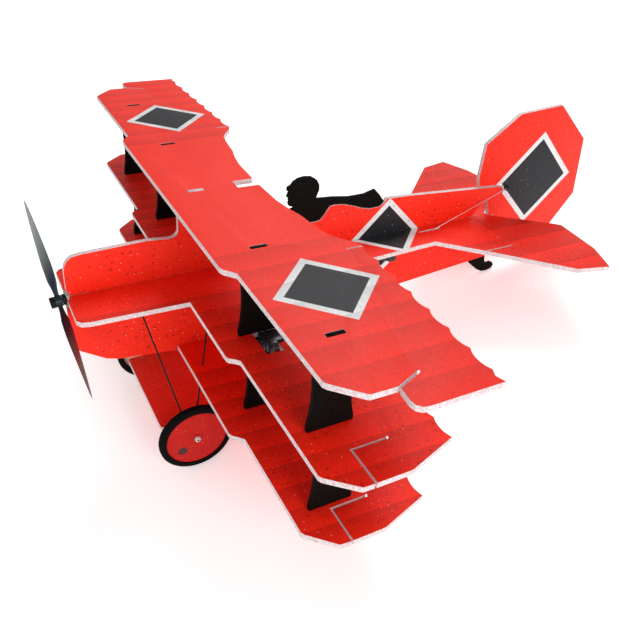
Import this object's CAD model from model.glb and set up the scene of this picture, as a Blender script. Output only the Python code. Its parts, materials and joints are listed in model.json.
"""Park-flyer triplane: printed foam boards, black foam struts, wheels, propeller and drives.

Every piece is shaped and coloured in the airframe's own axes, in millimetres: X to the port
wing tip, Y from nose to tail, Z up, with Z = 0 on the middle wing's centre plane. place()
turns those into the standing model's place, which is read from the frame's joints.
"""

import json
import math

import bmesh
import bpy
from mathutils import Matrix, Vector


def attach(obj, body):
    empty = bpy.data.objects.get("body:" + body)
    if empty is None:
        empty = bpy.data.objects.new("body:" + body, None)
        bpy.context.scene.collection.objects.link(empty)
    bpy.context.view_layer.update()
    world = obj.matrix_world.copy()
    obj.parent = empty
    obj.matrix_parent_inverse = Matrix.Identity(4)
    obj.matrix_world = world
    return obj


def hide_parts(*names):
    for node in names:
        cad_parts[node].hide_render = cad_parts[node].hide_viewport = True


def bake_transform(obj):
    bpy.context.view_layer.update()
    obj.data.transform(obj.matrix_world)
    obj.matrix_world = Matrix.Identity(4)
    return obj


MM = 0.001
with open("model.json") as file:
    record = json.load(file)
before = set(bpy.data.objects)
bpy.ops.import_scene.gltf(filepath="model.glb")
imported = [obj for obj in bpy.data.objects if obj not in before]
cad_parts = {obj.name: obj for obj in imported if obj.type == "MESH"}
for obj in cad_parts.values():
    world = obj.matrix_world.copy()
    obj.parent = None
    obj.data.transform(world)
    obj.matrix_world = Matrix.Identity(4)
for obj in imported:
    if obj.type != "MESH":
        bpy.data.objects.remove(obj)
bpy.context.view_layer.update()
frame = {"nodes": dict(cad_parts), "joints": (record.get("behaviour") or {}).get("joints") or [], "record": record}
NODES = frame["nodes"]
JOINTS = {joint["name"]: joint for joint in frame["joints"]}
BODY_OF = {n: b for b, members in frame["record"]["behaviour"]["bodies"].items() for n in members}

# ---------------------------------------------------------------- where the airframe stands

RUDDER_HINGE = Vector((3.5, 500.0, 0.0))
UP = Vector(JOINTS["rudder_hinge"]["axis"]).normalized()
PITCH = math.atan2(UP.y, UP.z)
TURN = Matrix.Rotation(-PITCH, 4, "X")
SHIFT = Vector(JOINTS["rudder_hinge"]["pos_m"]) - TURN @ (RUDDER_HINGE * MM)
PLACE = Matrix.Translation(SHIFT) @ TURN @ Matrix.Scale(MM, 4)


def place(x, y, z):
    return PLACE @ Vector((x, y, z))


FOAM = 7.0
GAP = 114.5
HINGE_IN = (196.0, 98.0)
HINGE_SLOPE = -0.2333
AILERON_ENDS = {"top": (GAP, 403.4), "mid": (0.0, 366.0), "low": (-GAP, 339.5)}
ELEVATOR_HINGE_Y = 451.0
AXLE_Y = -50.0
AXLE_Z = -188.0
WHEEL_X = 104.5
ROD_R = 1.5
LEG_R = 1.1
SHAFT_AT = (0.0, -183.7, -2.7)
PROP_R = 127.0
PROP_PITCH = 119.0
THRUST_TILT = math.radians(7.2)
PROP_TURN = math.radians(122.7)
INK_BLACK = (0.012, 0.013, 0.016)
INK_WHITE = (0.70, 0.70, 0.70)

# ---------------------------------------------------------------- node helpers


class Net:
    """A material's nodes, built one call at a time. An argument may be a value or a socket."""

    def __init__(self, name):
        self.material = bpy.data.materials.new(name)
        self.material.use_nodes = True
        self.tree = self.material.node_tree
        self.shader = self.tree.nodes["Principled BSDF"]

    def put(self, socket, value):
        if isinstance(value, bpy.types.NodeSocket):
            self.tree.links.new(value, socket)
        elif isinstance(value, (tuple, list)) and len(value) == 3 and len(socket.default_value) == 4:
            socket.default_value = (*value, 1.0)
        else:
            socket.default_value = value

    def add(self, kind, settings=None, **inputs):
        made = self.tree.nodes.new("ShaderNode" + kind)
        for key, value in (settings or {}).items():
            setattr(made, key, value)
        for key, value in inputs.items():
            key = int(key[1:]) if key[0] == "i" and key[1:].isdigit() else key.replace("_", " ")
            self.put(made.inputs[key], value)
        return made

    def math(self, operation, a, b=0.0, c=0.0, clamp=False):
        return self.add("Math", {"operation": operation, "use_clamp": clamp}, i0=a, i1=b, i2=c).outputs[0]

    def vector(self, operation, a, b=(0.0, 0.0, 0.0)):
        made = self.add("VectorMath", {"operation": operation}, i0=a, i1=b)
        return made.outputs["Value" if operation in ("DOT_PRODUCT", "LENGTH") else "Vector"]

    def ramp(self, value, low, high, to_low=0.0, to_high=1.0, smooth=True):
        made = self.add("MapRange", {"interpolation_type": "SMOOTHSTEP" if smooth else "LINEAR"},
                        i0=value, i1=low, i2=high, i3=to_low, i4=to_high)
        return made.outputs[0]

    def mix(self, factor, a, b):
        made = self.add("Mix", {"data_type": "RGBA"}, i0=factor)
        self.put(made.inputs[6], a)
        self.put(made.inputs[7], b)
        return made.outputs[2]

    def dim(self, color, factor):
        """The colour times a grey factor."""
        return self.vector("MULTIPLY", color, self.add("CombineXYZ", X=factor, Y=factor, Z=factor).outputs[0])

    def noise(self, at, scale, detail=3.0, rough=0.55):
        return self.add("TexNoise", None, Vector=at, Scale=scale, Detail=detail, Roughness=rough).outputs[0]

    def cells(self, at, scale, feature="F1", output="Distance"):
        return self.add("TexVoronoi", {"feature": feature}, Vector=at, Scale=scale).outputs[output]

    def flat_cells(self, at, scale, output="Distance"):
        """Round cells in the plane of at's first two coordinates."""
        return self.add("TexVoronoi", {"feature": "F1", "voronoi_dimensions": "2D"},
                        Vector=at, Scale=scale).outputs[output]

    def millimetres(self):
        """Where the point is on the airframe, in its own axes and millimetres."""
        coords = self.add("TexCoord")
        made = self.add("Mapping", {"vector_type": "TEXTURE"}, Vector=coords.outputs["Object"],
                        Location=tuple(SHIFT), Rotation=(-PITCH, 0.0, 0.0), Scale=(MM, MM, MM))
        return made.outputs[0], coords.outputs["Normal"]

    def relief(self, height, depth_mm, strength=1.0):
        bump = self.add("Bump", None, Strength=strength, Distance=depth_mm * MM, Height=height)
        self.put(self.shader.inputs["Normal"], bump.outputs[0])

    def finish(self, color, rough, specular=0.5, metallic=0.0):
        self.put(self.shader.inputs["Base Color"], color)
        self.put(self.shader.inputs["Roughness"], rough)
        self.shader.inputs["Specular IOR Level"].default_value = specular
        self.shader.inputs["Metallic"].default_value = metallic
        return self.material


# ---------------------------------------------------------------- foam materials

# A diamond badge: (middle, half size) in the board's plane
WING_BADGES = [((257.6, 40.6), 61.0)]
FIN_BADGES = [((565.0, 54.0), 78.0)]
SIDE_BADGES = [((287.3, 0.0), 62.5)]
DECK_BADGES = [((0.0, 287.3), 62.5)]
BADGE_RIM = 8.2


def foam_cells(net, at):
    """Height of the fused beads: flat tops, sunk joints, and a fine grain on top."""
    joints = net.ramp(net.cells(at, 0.34, "DISTANCE_TO_EDGE"), 0.0, 0.12)
    grain = net.noise(at, 1.1, 4.0, 0.65)
    pits = net.ramp(net.cells(at, 0.16), 0.05, 0.16)
    height = net.math("ADD", net.math("MULTIPLY", joints, 0.22), net.math("MULTIPLY", grain, 0.9))
    return net.math("ADD", height, net.math("MULTIPLY", pits, 0.35)), joints, grain


def spots(net, face, scale, least, size, share=1.0):
    """Scattered round spots, one to a cell at most; least is the chance of an empty cell."""
    chance = net.add("SeparateColor", None, Color=net.flat_cells(face, scale, "Color")).outputs[0]
    reach = net.math("MULTIPLY", net.ramp(chance, least, 1.0, 0.0, size, False), share)
    return net.ramp(net.math("SUBTRACT", reach, net.flat_cells(face, scale)), 0.0, 0.03)


def badge_masks(net, a, b, badges):
    """How far inside the black field and inside the white rim the point is, for the closest badge."""
    black = white = None
    for (ca, cb), size in badges:
        off = net.math("ADD", net.math("ABSOLUTE", net.math("SUBTRACT", a, ca)),
                       net.math("ABSOLUTE", net.math("SUBTRACT", b, cb)))
        outer = net.ramp(off, size + 0.4, size - 0.4, smooth=False)
        inner_size = size - BADGE_RIM * math.sqrt(2)
        inner = net.ramp(off, inner_size + 0.4, inner_size - 0.4, smooth=False)
        white = outer if white is None else net.math("MAXIMUM", white, outer)
        black = inner if black is None else net.math("MAXIMUM", black, inner)
    return black, white


def board_material(name, flat, ribs=None, badges=(), gloss=0.5, specks=1.0):
    """Printed foam board, pale where it is cut. flat names the board's plane, xy or yz; ribs is
    (start, pitch, slant, depth) of the printed rib shading, in millimetres along X."""
    net = Net(name)
    at, normal = net.millimetres()
    facing = TURN.to_3x3() @ Vector((0, 0, 1) if flat == "xy" else (1, 0, 0))
    split = net.add("SeparateXYZ", None, Vector=at)
    x, y, z = split.outputs
    height, joints, grain = foam_cells(net, at)

    drift = net.noise(at, 0.018, 2.0)
    ink = net.mix(drift, (0.79, 0.012, 0.002), (0.88, 0.023, 0.005))
    if badges:
        a, b = (net.math("ABSOLUTE", x), y) if flat == "xy" else (y, z)
        black, white = badge_masks(net, a, b, badges)
        ink = net.mix(white, ink, INK_WHITE)
        ink = net.mix(black, ink, INK_BLACK)
    cloud = net.noise(at, 0.22, 4.0, 0.7)
    shade = net.math("MULTIPLY", net.ramp(grain, 0.25, 0.75, 0.88, 1.07),
                     net.ramp(cloud, 0.3, 0.7, 0.91, 1.06))
    if ribs:
        start, pitch, slant, depth, inward = ribs
        across = net.math("SUBTRACT", net.math("ABSOLUTE", x), start)
        across = net.math("SUBTRACT", across, net.math("MULTIPLY", y, slant))
        bay = net.math("DIVIDE", across, pitch)
        fall = net.math("FRACT", bay)
        if not inward:
            fall = net.math("SUBTRACT", 1.0, fall)
        edge = net.ramp(fall, 1.0, 0.95)
        dark = net.math("MULTIPLY", net.math("MULTIPLY", fall, edge), depth)
        dark = net.math("MULTIPLY", dark, net.math("GREATER_THAN", across, 0.0))
        shade = net.math("MULTIPLY", shade, net.math("SUBTRACT", 1.0, dark))
    ink = net.dim(ink, shade)

    face = net.add("CombineXYZ", X=x if flat == "xy" else z, Y=y, Z=0.0).outputs[0]
    pit, speck = (spots(net, face, *spot, specks) for spot in ((0.10, 0.30, 0.17), (0.11, 0.50, 0.062)))
    ink = net.dim(ink, net.math("SUBTRACT", 1.0, net.math("MULTIPLY", pit, 0.45)))
    ink = net.mix(net.math("MULTIPLY", speck, 0.85), ink, (0.92, 0.72, 0.70))

    beads = net.cells(at, 0.62, "F1", "Color")
    tone = net.add("SeparateColor", None, Color=beads).outputs[0]
    cut = net.mix(tone, (0.56, 0.41, 0.42), (0.76, 0.67, 0.67))
    cut = net.dim(cut, net.ramp(grain, 0.25, 0.75, 0.82, 1.08))

    flatness = net.math("ABSOLUTE", net.vector("DOT_PRODUCT", normal, tuple(facing)))
    wander = net.math("MULTIPLY", net.math("SUBTRACT", net.noise(at, 0.45, 2.0), 0.5), 0.5)
    printed = net.ramp(net.math("ADD", flatness, wander), 0.62, 0.84)
    color = net.mix(printed, cut, ink)
    lift = net.math("MULTIPLY", height, net.ramp(printed, 0.0, 1.0, 2.2, 1.0))
    net.relief(lift, 0.32, 0.7)
    return net.finish(color, net.ramp(grain, 0.3, 0.7, gloss + 0.06, gloss - 0.05), 0.22)


def dark_foam_material():
    net = Net("black_foam")
    at, _ = net.millimetres()
    height, joints, grain = foam_cells(net, at)
    tone = net.add("SeparateColor", None, Color=net.cells(at, 0.5, "F1", "Color")).outputs[0]
    color = net.mix(tone, (0.001, 0.001, 0.001), (0.005, 0.004, 0.003))
    gap = net.math("ADD", net.cells(at, 0.42), net.math("MULTIPLY", tone, 0.2))
    fleck = net.ramp(gap, 0.12, 0.20, 1.0, 0.0)
    color = net.mix(net.math("MULTIPLY", fleck, 0.4), color, (0.04, 0.03, 0.025))
    net.relief(height, 0.5, 0.9)
    return net.finish(color, net.ramp(grain, 0.3, 0.7, 0.8, 0.65), 0.06)


# ---------------------------------------------------------------- other materials


def plain_material(name, low, high, rough, specular=0.5, metallic=0.0, grain=0.6, depth=0.05):
    """Moulded or drawn material: two close tones, a fine grain and uneven gloss."""
    net = Net(name)
    at, _ = net.millimetres()
    broad = net.noise(at, 0.05, 3.0)
    fine = net.noise(at, grain, 4.0, 0.6)
    tone = net.math("ADD", net.math("MULTIPLY", broad, 0.6), net.math("MULTIPLY", fine, 0.4))
    color = net.mix(tone, low, high)
    net.relief(fine, depth, 0.5)
    return net.finish(color, net.ramp(fine, 0.3, 0.7, rough + 0.07, rough - 0.05), specular, metallic)


def carbon_material():
    """Pultruded rod: long fine fibres along the rod, under a thin resin skin."""
    net = Net("carbon_rod")
    at, _ = net.millimetres()
    fibres = net.noise(net.vector("MULTIPLY", at, (2.4, 2.4, 0.12)), 1.6, 4.0, 0.7)
    color = net.mix(fibres, (0.002, 0.002, 0.002), (0.010, 0.010, 0.011))
    net.relief(fibres, 0.04, 0.4)
    return net.finish(color, net.ramp(fibres, 0.3, 0.7, 0.5, 0.38), 0.12)


def wood_material():
    net = Net("beech_stick")
    at, _ = net.millimetres()
    rings = net.noise(net.vector("MULTIPLY", at, (1.0, 0.06, 1.0)), 1.3, 5.0, 0.6)
    flecks = net.noise(net.vector("MULTIPLY", at, (2.0, 0.25, 2.0)), 1.1, 2.0)
    color = net.mix(rings, (0.52, 0.33, 0.18), (0.74, 0.55, 0.36))
    color = net.mix(net.ramp(flecks, 0.58, 0.7), color, (0.40, 0.24, 0.13))
    net.relief(rings, 0.1, 0.4)
    return net.finish(color, 0.6, 0.3)


def blade_material():
    """Moulded nylon blade: near black at the hub, greyer where the resin thins to the tips."""
    net = Net("propeller_nylon")
    at, _ = net.millimetres()
    out = net.vector("LENGTH", net.vector("SUBTRACT", at, SHAFT_AT))
    fine = net.noise(at, 1.4, 3.0)
    streaks = net.noise(at, 0.12, 3.0)
    color = net.mix(net.ramp(out, 25.0, 125.0), (0.001, 0.009, 0.017), (0.12, 0.15, 0.13))
    color = net.dim(color, net.ramp(streaks, 0.3, 0.7, 0.85, 1.15))
    net.relief(fine, 0.04, 0.25)
    return net.finish(color, net.ramp(fine, 0.3, 0.7, 0.40, 0.30), 0.3)


def tyre_material():
    net = Net("tyre_foam_rubber")
    at, _ = net.millimetres()
    pores = net.ramp(net.cells(at, 1.3), 0.1, 0.5)
    fine = net.noise(at, 2.0, 4.0, 0.7)
    color = net.mix(fine, (0.001, 0.001, 0.001), (0.005, 0.005, 0.005))
    net.relief(net.math("ADD", pores, fine), 0.2, 0.6)
    return net.finish(color, 0.85, 0.06)


def disc_material():
    """Wheel disc: red print on the outer face, bare pale foam behind, one dark balance dot."""
    net = Net("wheel_disc_foam")
    at, normal = net.millimetres()
    height, joints, grain = foam_cells(net, at)
    x, y, z = net.add("SeparateXYZ", None, Vector=at).outputs
    drift = net.noise(at, 0.05, 3.0)
    ink = net.mix(drift, (0.36, 0.004, 0.002), (0.48, 0.008, 0.004))
    dot_at = net.vector("SUBTRACT", net.add("CombineXYZ", X=0.0, Y=y, Z=z).outputs[0], (0.0, *BALANCE_DOT))
    dot = net.ramp(net.vector("LENGTH", dot_at), 7.0, 6.2)
    ink = net.mix(net.math("MULTIPLY", dot, 0.95), ink, (0.045, 0.02, 0.022))
    face = net.add("CombineXYZ", X=z, Y=y, Z=0.0).outputs[0]
    speck = net.math("MULTIPLY", spots(net, face, 0.13, 0.5, 0.07), 0.7)
    ink = net.mix(speck, ink, (0.8, 0.6, 0.58))
    bare = net.mix(grain, (0.50, 0.33, 0.22), (0.72, 0.55, 0.42))
    outward = net.math("MULTIPLY", net.vector("DOT_PRODUCT", normal, (1.0, 0.0, 0.0)), net.math("SIGN", x))
    color = net.mix(net.ramp(outward, 0.1, 0.5), bare, ink)
    net.relief(height, 0.3, 0.6)
    return net.finish(color, net.ramp(grain, 0.3, 0.7, 0.55, 0.42), 0.15)


def strap_material():
    """Woven strap with rows of loops."""
    net = Net("strap_weave")
    at, _ = net.millimetres()
    rows = net.add("TexWave", {"bands_direction": "Y"}, Vector=at, Scale=0.5, Distortion=1.5, Detail=2.0)
    loops = net.cells(at, 1.6)
    color = net.mix(loops, (0.010, 0.010, 0.011), (0.05, 0.05, 0.052))
    net.relief(net.math("ADD", rows.outputs["Fac"], loops), 0.3, 0.8)
    return net.finish(color, 0.9, 0.2)


BALANCE_DOT = (-70.4, -204.2)
TOP_RIBS = (162.0, 35.9, 0.01, 0.20, False)
MID_RIBS = (62.0, 32.9, 0.035, 0.26, False)
LOW_RIBS = (70.5, 32.0, 0.05, 0.28, False)
TAIL_RIBS = (12.0, 40.0, 0.0, 0.26, True)


LOOK = {
    "top_wing": board_material("print_top_wing", "xy", TOP_RIBS, WING_BADGES, 0.46, 0.55),
    "mid_wing": board_material("print_mid_wing", "xy", MID_RIBS, DECK_BADGES, 0.5),
    "low_wing": board_material("print_low_wing", "xy", LOW_RIBS, (), 0.5),
    "tail": board_material("print_tail", "xy", TAIL_RIBS, (), 0.48),
    "side": board_material("print_side", "yz", None, SIDE_BADGES, 0.55, 1.2),
    "fin": board_material("print_fin", "yz", None, FIN_BADGES, 0.5),
    "small": board_material("print_small", "xy", None, (), 0.5),
    "black_foam": dark_foam_material(),
    "carbon": carbon_material(),
    "wood": wood_material(),
    "blade": blade_material(),
    "tyre": tyre_material(),
    "disc": disc_material(),
    "strap": strap_material(),
    "black_plastic": plain_material("black_plastic", (0.012, 0.012, 0.013), (0.03, 0.03, 0.032), 0.42),
    "hub_black": plain_material("hub_black", (0.001, 0.0012, 0.0015), (0.004, 0.005, 0.006), 0.42, 0.16),
    "steel": plain_material("bright_steel", (0.46, 0.46, 0.47), (0.66, 0.66, 0.67), 0.3, 0.5, 1.0, 1.5, 0.02),
    "pale_nylon": plain_material("pale_nylon", (0.50, 0.48, 0.45), (0.66, 0.64, 0.61), 0.45),
    "smoke_plastic": plain_material("smoke_plastic", (0.010, 0.012, 0.016), (0.022, 0.025, 0.032), 0.25, 0.5),
    "battery": plain_material("battery_wrap", (0.030, 0.075, 0.20), (0.055, 0.12, 0.28), 0.3,
                              grain=0.5, depth=0.25),
    "shrink": plain_material("shrink_sleeve", (0.010, 0.010, 0.011), (0.026, 0.026, 0.028), 0.32,
                             grain=0.3, depth=0.4),
}

# ---------------------------------------------------------------- mesh helpers


def made(name, bm, look, body, node=None, slot=None, smooth=0.0):
    """A finished piece from a bmesh in the frame's metres."""
    bmesh.ops.recalc_face_normals(bm, faces=bm.faces)
    mesh = bpy.data.meshes.new(name)
    bm.to_mesh(mesh)
    bm.free()
    obj = bpy.data.objects.new(name, mesh)
    bpy.context.scene.collection.objects.link(obj)
    mesh.materials.append(LOOK[look])
    if smooth:
        mesh.shade_smooth()
        mesh.set_sharp_from_angle(angle=math.radians(smooth))
    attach(obj, body)
    if node:
        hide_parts(*([node] if isinstance(node, str) else node))
    return obj


def solid_of(node):
    """A CAD node's shape as a bmesh with welded points and whole flat faces."""
    bm = bmesh.new()
    bm.from_mesh(NODES[node].data)
    bmesh.ops.remove_doubles(bm, verts=bm.verts, dist=2e-6)
    bmesh.ops.dissolve_limit(bm, angle_limit=math.radians(0.6), verts=bm.verts, edges=bm.edges)
    bmesh.ops.recalc_face_normals(bm, faces=bm.faces)
    return bm


def board(node, look, flat, slot, soft=0.65):
    """A foam board: the CAD shape with its printed faces rolled over into the cut edge."""
    facing = TURN.to_3x3() @ Vector((0, 0, 1) if flat == "xy" else (1, 0, 0))
    bm = solid_of(node)
    rims = []
    for edge in bm.edges:
        if len(edge.link_faces) == 2:
            a, b = (abs(f.normal.dot(facing)) > 0.99 for f in edge.link_faces)
            if a != b:
                rims.append(edge)
    bmesh.ops.bevel(bm, geom=rims, offset=soft * MM, offset_type="OFFSET", segments=3, profile=0.5,
                    affect="EDGES", clamp_overlap=True)
    return made(node + "_board", bm, look, BODY_OF[node], node, slot, 40)


def rounded_solid(node, look, slot, radius, segments=3, smooth=40):
    """A CAD shape with all its edges rolled over."""
    bm = solid_of(node)
    bmesh.ops.bevel(bm, geom=list(bm.edges), offset=radius * MM, offset_type="OFFSET", segments=segments,
                    profile=0.5, affect="EDGES", clamp_overlap=True)
    return made(node + "_shell", bm, look, BODY_OF[node], node, slot, smooth)


def turned(center, axis, profile, sides, bm=None, closed=True):
    """A lathe shape in airframe millimetres: profile lists (distance along axis, radius), and
    closed joins its last ring to its first."""
    bm = bm or bmesh.new()
    axis = Vector(axis).normalized()
    side = axis.orthogonal().normalized()
    up = axis.cross(side)
    rings = []
    for along, radius in profile:
        ring = []
        for k in range(sides):
            a = 2 * math.pi * k / sides
            spot = Vector(center) + axis * along + (side * math.cos(a) + up * math.sin(a)) * radius
            ring.append(bm.verts.new(PLACE @ spot))
        rings.append(ring)
    pairs = list(zip(rings, rings[1:]))
    if closed:
        pairs.append((rings[-1], rings[0]))
    for a, b in pairs:
        for k in range(sides):
            n = (k + 1) % sides
            bm.faces.new((a[k], a[n], b[n], b[k]))
    if not closed:
        bm.faces.new(rings[0][::-1])
        bm.faces.new(rings[-1])
    return bm


# ---------------------------------------------------------------- boards

for tag in ("port", "starboard"):
    board(f"aileron_top_{tag}", "top_wing", "xy", "foam_red")
    board(f"aileron_mid_{tag}", "mid_wing", "xy", "foam_red")
    board(f"aileron_low_{tag}", "low_wing", "xy", "foam_red")
    for bay in ("upper", "lower"):
        for spot in ("inner", "outer"):
            board(f"strut_{bay}_{spot}_{tag}", "black_foam", "yz", "foam_black", 0.8)
board("top_wing", "top_wing", "xy", "foam_red")
board("middle_sheet", "mid_wing", "xy", "foam_red")
board("bottom_wing", "low_wing", "xy", "foam_red")
board("axle_wing", "small", "xy", "foam_red")
board("elevator", "tail", "xy", "foam_red")
board("rudder", "fin", "yz", "foam_red")
board("fuselage_upper", "side", "yz", "foam_red")
board("fuselage_lower", "side", "yz", "foam_red")
board("pilot", "black_foam", "yz", "foam_black", 0.8)
board("tail_skid", "black_foam", "yz", "foam_black", 0.8)

# ---------------------------------------------------------------- film hinges

HALF_SKIN = 3.4
SKIN = 0.12


def hinge_strip(name, a, b, across, normal, look, steps=8):
    """A thin printed skin bridging the hinge line from a to b; it bends with the moving board."""
    a, b, across, normal = (Vector(v) for v in (a, b, across, normal))
    bm = bmesh.new()
    rows = []
    for k in range(steps + 1):
        off = across * (HALF_SKIN * (2 * k / steps - 1))
        rows.append([bm.verts.new(PLACE @ (end + off + normal * lift))
                     for end, lift in ((a, 0.02), (b, 0.02), (b, SKIN), (a, SKIN))])
    for one, two in zip(rows, rows[1:]):
        for k in range(4):
            n = (k + 1) % 4
            bm.faces.new((one[k], one[n], two[n], two[k]))
    bm.faces.new(rows[0][::-1])
    bm.faces.new(rows[-1])
    bmesh.ops.recalc_face_normals(bm, faces=bm.faces)
    mesh = bpy.data.meshes.new(name)
    bm.to_mesh(mesh)
    bm.free()
    obj = bpy.data.objects.new(name, mesh)
    bpy.context.scene.collection.objects.link(obj)
    mesh.materials.append(LOOK[look])
    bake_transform(obj)


for level, (height, far) in AILERON_ENDS.items():
    for tag, side in (("port", 1), ("starboard", -1)):
        ends = [(side * x, HINGE_IN[1] + HINGE_SLOPE * (x - HINGE_IN[0]), height + FOAM / 2)
                for x in (HINGE_IN[0] + 1.2, far)]
        aft = Vector((-side * HINGE_SLOPE, 1.0, 0.0)).normalized()
        hinge_strip(f"hinge_skin_{level}_{tag}", ends[0], ends[1], aft, (0, 0, 1), level + "_wing")
for tag, side in (("port", 1), ("starboard", -1)):
    ends = [(side * x, ELEVATOR_HINGE_Y, FOAM / 2) for x in (4.6, 99.0)]
    hinge_strip(f"hinge_skin_elevator_{tag}", ends[0], ends[1], (0, 1, 0), (0, 0, 1), "tail")
ends = [(RUDDER_HINGE.x, RUDDER_HINGE.y, z) for z in (-53.0, 46.0)]
hinge_strip("hinge_skin_rudder", ends[0], ends[1], (0, 1, 0), (1, 0, 0), "side")

# ---------------------------------------------------------------- undercarriage


def lathe(node, look, slot, center, axis, profile, sides=64, closed=True, smooth=35):
    """A lathe shape that stands for one CAD node."""
    return made(node + "_turned", turned(center, axis, profile, sides, None, closed), look,
                BODY_OF[node], node, slot, smooth)


def round_bar(node, a, b, radius, look, slot, sides=24):
    """A straight rod with softened ends."""
    a, b = Vector(a), Vector(b)
    long = (b - a).length
    soft = radius * 0.3
    profile = [(0.0, radius - soft), (soft, radius), (long - soft, radius), (long, radius - soft)]
    return lathe(node, look, slot, a, b - a, profile, sides, False, 30)


def wheel(tag, side):
    center = (side * WHEEL_X, AXLE_Y, AXLE_Z)
    axis = (side, 0, 0)
    tread = []
    for k in range(13):
        a = math.radians(-90 + 15 * k)
        tread.append((4.0 * math.sin(a) + (1.4 if a > 0 else -1.4), 47.0 + 4.0 * math.cos(a)))
    rim = [(-5.4, 42.4)] + tread + [(5.4, 42.4), (4.4, 42.3), (-4.4, 42.3)]
    lathe(f"tyre_{tag}", "tyre", "tyre", center, axis, rim, 96)
    face = [(-4.6, 1.65), (-4.6, 4.6), (-4.2, 5.0), (-1.0, 5.2), (-1.0, 41.4), (-0.6, 42.0), (3.6, 42.0),
            (4.2, 41.4), (4.3, 30.0), (4.3, 8.0), (4.2, 1.65)]
    lathe(f"wheel_disc_{tag}", "disc", "foam_red", center, axis, face, 96)
    collar = [(4.8, 1.6), (4.8, 3.5), (5.1, 3.9), (6.6, 3.9), (7.0, 3.6), (8.6, 3.4), (9.1, 3.0), (9.1, 1.6)]
    lathe(f"wheel_collar_{tag}", "pale_nylon", "plastic_pale", center, axis, collar, 48)


round_bar("axle", (-114.2, AXLE_Y, AXLE_Z), (114.2, AXLE_Y, AXLE_Z), ROD_R, "carbon", "carbon")
for tag, side in (("port", 1), ("starboard", -1)):
    for spot, top, foot in (("front", -95.0, AXLE_Y - 6.0), ("rear", 12.0, AXLE_Y + 4.0)):
        round_bar(f"leg_{spot}_{tag}", (side * 12.0, top, -4.4), (side * 88.5, foot, AXLE_Z + 1.0), LEG_R,
                  "carbon", "carbon")
    wheel(tag, side)

# ---------------------------------------------------------------- propeller and motor

# Blade width at each share of its radius
CHORDS = [(0.0, 7.5), (0.1, 9.0), (0.22, 18.0), (0.4, 29.0), (0.6, 32.0), (0.8, 27.5), (0.94, 16.0),
          (1.0, 3.0)]


def eased(table, at):
    """The table's value at a place, with a smooth curve through its entries."""
    for k in range(len(table) - 1):
        (x0, y0), (x1, y1) = table[k], table[k + 1]
        if x0 <= at <= x1:
            before = table[k - 1] if k else (2 * x0 - x1, 2 * y0 - y1)
            after = table[k + 2] if k + 2 < len(table) else (2 * x1 - x0, 2 * y1 - y0)
            t = (at - x0) / (x1 - x0)
            m0 = (y1 - before[1]) / (x1 - before[0]) * (x1 - x0)
            m1 = (after[1] - y0) / (after[0] - x0) * (x1 - x0)
            return ((2 * t ** 3 - 3 * t ** 2 + 1) * y0 + (t ** 3 - 2 * t ** 2 + t) * m0
                    + (3 * t ** 2 - 2 * t ** 3) * y1 + (t ** 3 - t ** 2) * m1)
    return table[-1][1]


def blade_loop(bm, arm, reach, forward):
    """One closed airfoil section of a blade, square to its arm."""
    f = reach / PROP_R
    width = max(eased(CHORDS, f), 2.0)
    pitch = math.atan2(PROP_PITCH, 2 * math.pi * max(reach, 24.0))
    travel = forward.cross(arm)
    chord = travel * math.cos(pitch) + forward * math.sin(pitch)
    normal = forward * math.cos(pitch) - travel * math.sin(pitch)
    thick = 0.8 + 3.2 * (1 - f) ** 1.2
    loop = []
    for k in range(20):
        a = 2 * math.pi * k / 20
        u = 0.5 * math.cos(a)
        bulge = math.sin(a) * (0.52 if math.sin(a) > 0 else 0.34) * (1 + 0.35 * math.cos(a))
        loop.append(bm.verts.new(PLACE @ (Vector(SHAFT_AT) + arm * reach + chord * (u * width)
                                          + normal * (bulge * thick))))
    return loop


def propeller():
    forward = Vector((0, -math.cos(THRUST_TILT), -math.sin(THRUST_TILT)))
    side = Vector((1, 0, 0))
    up = forward.cross(side)
    arm = math.cos(PROP_TURN) * side + math.sin(PROP_TURN) * up
    bm = bmesh.new()
    for one in (arm, -arm):
        loops = []
        for k in range(45):
            f = 0.035 + 0.965 * (1 - (1 - k / 44) ** 1.35)
            loops.append(blade_loop(bm, one, f * PROP_R, forward))
        for a, b in zip(loops, loops[1:]):
            for i in range(20):
                n = (i + 1) % 20
                bm.faces.new((a[i], a[n], b[n], b[i]))
        bm.faces.new(loops[0][::-1])
        bm.faces.new(loops[-1])
    hub = [(-4.2, 2.2), (-4.2, 6.7), (-3.9, 7.0), (3.8, 7.0), (4.1, 6.7), (4.1, 2.2)]
    turned(SHAFT_AT, forward, hub, 48, bm)
    made("propeller_blades", bm, "blade", BODY_OF["propeller"], "propeller", "prop_grey", 35)
    nut = [(4.25, 1.9), (4.25, 6.7), (4.6, 7.0), (9.3, 7.0), (9.9, 6.7), (10.3, 6.1), (10.35, 3.2),
           (9.9, 2.6), (9.9, 0.2), (-3.9, 0.2), (-3.9, 1.9)]
    lathe("prop_nut", "hub_black", "steel_dark", SHAFT_AT, forward, nut, 48)
    bell = [(-4.6, 0.9), (-4.6, 6.5), (-5.1, 7.0), (-8.4, 7.0), (-8.9, 6.6), (-8.9, 0.9)]
    lathe("motor_bell", "hub_black", "plastic_black", SHAFT_AT, forward, bell, 48)
    base = [(-9.2, 0.9), (-9.2, 4.6), (-9.6, 5.0), (-9.9, 4.8), (-9.9, 2.6), (-11.4, 2.6), (-11.4, 0.9)]
    lathe("motor_base", "steel", "steel", SHAFT_AT, forward, base, 48)


propeller()
rounded_solid("motor_stick", "wood", "beech", 0.4)

# ---------------------------------------------------------------- controls and equipment

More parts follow.
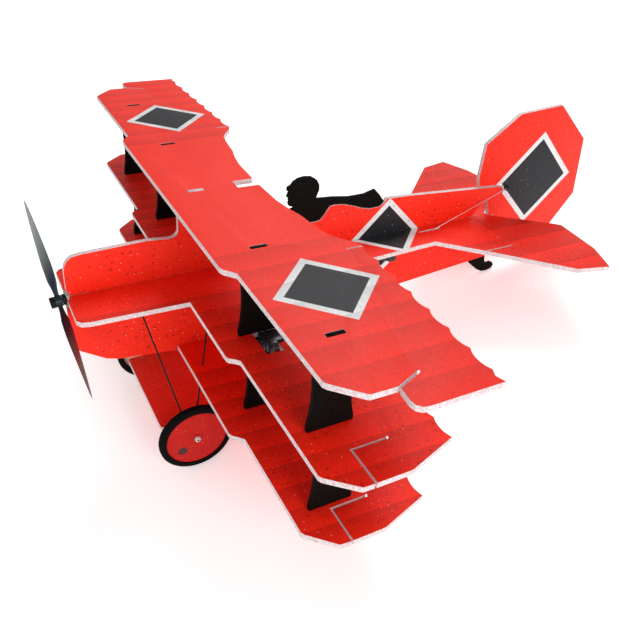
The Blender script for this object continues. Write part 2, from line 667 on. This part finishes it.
for name in ("aileron_port", "aileron_starboard", "rudder", "elevator"):
    rounded_solid(f"servo_{name}", "smoke_plastic", "plastic_black", 0.5)
    rounded_solid(f"servo_arm_{name}", "black_plastic", "plastic_black", 0.3, 2)
    rounded_solid(f"pushrod_{name}", "steel", "steel", 0.12, 1, 60)
for name in ("aileron_port", "aileron_starboard", "rudder", "elevator"):
    rounded_solid(f"horn_{name}", "black_plastic", "plastic_black", 0.25, 2)
rounded_solid("battery", "battery", "battery_wrap", 2.6, 4)
rounded_solid("speed_controller", "shrink", "shrink_black", 1.6, 4)
rounded_solid("receiver", "smoke_plastic", "plastic_black", 1.0, 3)
rounded_solid("battery_strap", "strap", "strap_fabric", 0.35, 2)

# ---------------------------------------------------------------- camera, light and floor

CAMERA_AT = (769.0, -272.5, 494.2)
LOOKING = Vector((-0.7183, 0.4207, -0.5541))
CAMERA_UP = Vector((-0.5186, 0.2071, 0.8296))
FLOOR_Z = -0.0003


def add_camera():
    data = bpy.data.cameras.new("camera")
    data.sensor_width = 36.0
    data.lens = 40.47
    data.shift_x = 0.0004
    data.shift_y = -0.0156
    data.clip_start = 0.02
    data.clip_end = 60.0
    obj = bpy.data.objects.new("camera", data)
    back = -(TURN.to_3x3() @ LOOKING).normalized()
    right = (TURN.to_3x3() @ CAMERA_UP).cross(back).normalized()
    up = back.cross(right)
    spin = Matrix((right, up, back)).transposed().to_4x4()
    obj.matrix_world = Matrix.Translation(place(*CAMERA_AT)) @ spin
    bpy.context.scene.collection.objects.link(obj)
    bpy.context.scene.camera = obj


def add_light(name, at, aim, size, power, color=(1.0, 1.0, 1.0)):
    data = bpy.data.lights.new(name, "AREA")
    data.shape = "DISK"
    data.size = size
    data.energy = power
    data.color = color
    obj = bpy.data.objects.new(name, data)
    obj.location = at
    obj.rotation_mode = "QUATERNION"
    obj.rotation_quaternion = (Vector(aim) - Vector(at)).to_track_quat("-Z", "Y")
    bpy.context.scene.collection.objects.link(obj)


def add_floor():
    bm = bmesh.new()
    middle = bm.verts.new((0.0, 0.0, FLOOR_Z))
    rings = []
    for radius in (3.0, 12.0, 30.0):
        angles = [k * math.pi / 24 for k in range(48)]
        rings.append([bm.verts.new((radius * math.cos(a), radius * math.sin(a), FLOOR_Z)) for a in angles])
    for k in range(48):
        n = (k + 1) % 48
        bm.faces.new((middle, rings[0][k], rings[0][n]))
        for low, high in zip(rings, rings[1:]):
            bm.faces.new((low[k], high[k], high[n], low[n]))
    mesh = bpy.data.meshes.new("floor")
    bm.to_mesh(mesh)
    bm.free()
    floor = bpy.data.objects.new("floor", mesh)
    bpy.context.scene.collection.objects.link(floor)
    net = Net("floor_paper")
    coords = net.add("TexCoord").outputs["Object"]
    fine = net.noise(coords, 60.0, 3.0)
    color = net.mix(fine, (0.95, 0.95, 0.95), (0.97, 0.97, 0.97))
    net.put(net.shader.inputs["Emission Color"], (1.0, 1.0, 1.0))
    net.put(net.shader.inputs["Emission Strength"], 0.34)
    mesh.materials.append(net.finish(color, 0.95, 0.1))


def add_world(strength):
    world = bpy.data.worlds.new("studio")
    world.use_nodes = True
    background = world.node_tree.nodes["Background"]
    background.inputs["Color"].default_value = (1.0, 1.0, 1.0, 1.0)
    background.inputs["Strength"].default_value = strength
    bpy.context.scene.world = world
    bpy.context.scene.view_settings.view_transform = "Standard"


add_camera()
add_world(0.50)
add_floor()
add_light("key_overhead", (-1.1, 1.3, 2.3), (0.0, 0.05, 0.2), 1.6, 46.0)
add_light("fill_port", (2.7, 0.35, 1.15), (0.1, 0.1, 0.2), 1.6, 42.0)
add_light("fill_low_front", (1.3, -2.0, 0.45), (0.1, -0.2, 0.1), 1.2, 14.0)
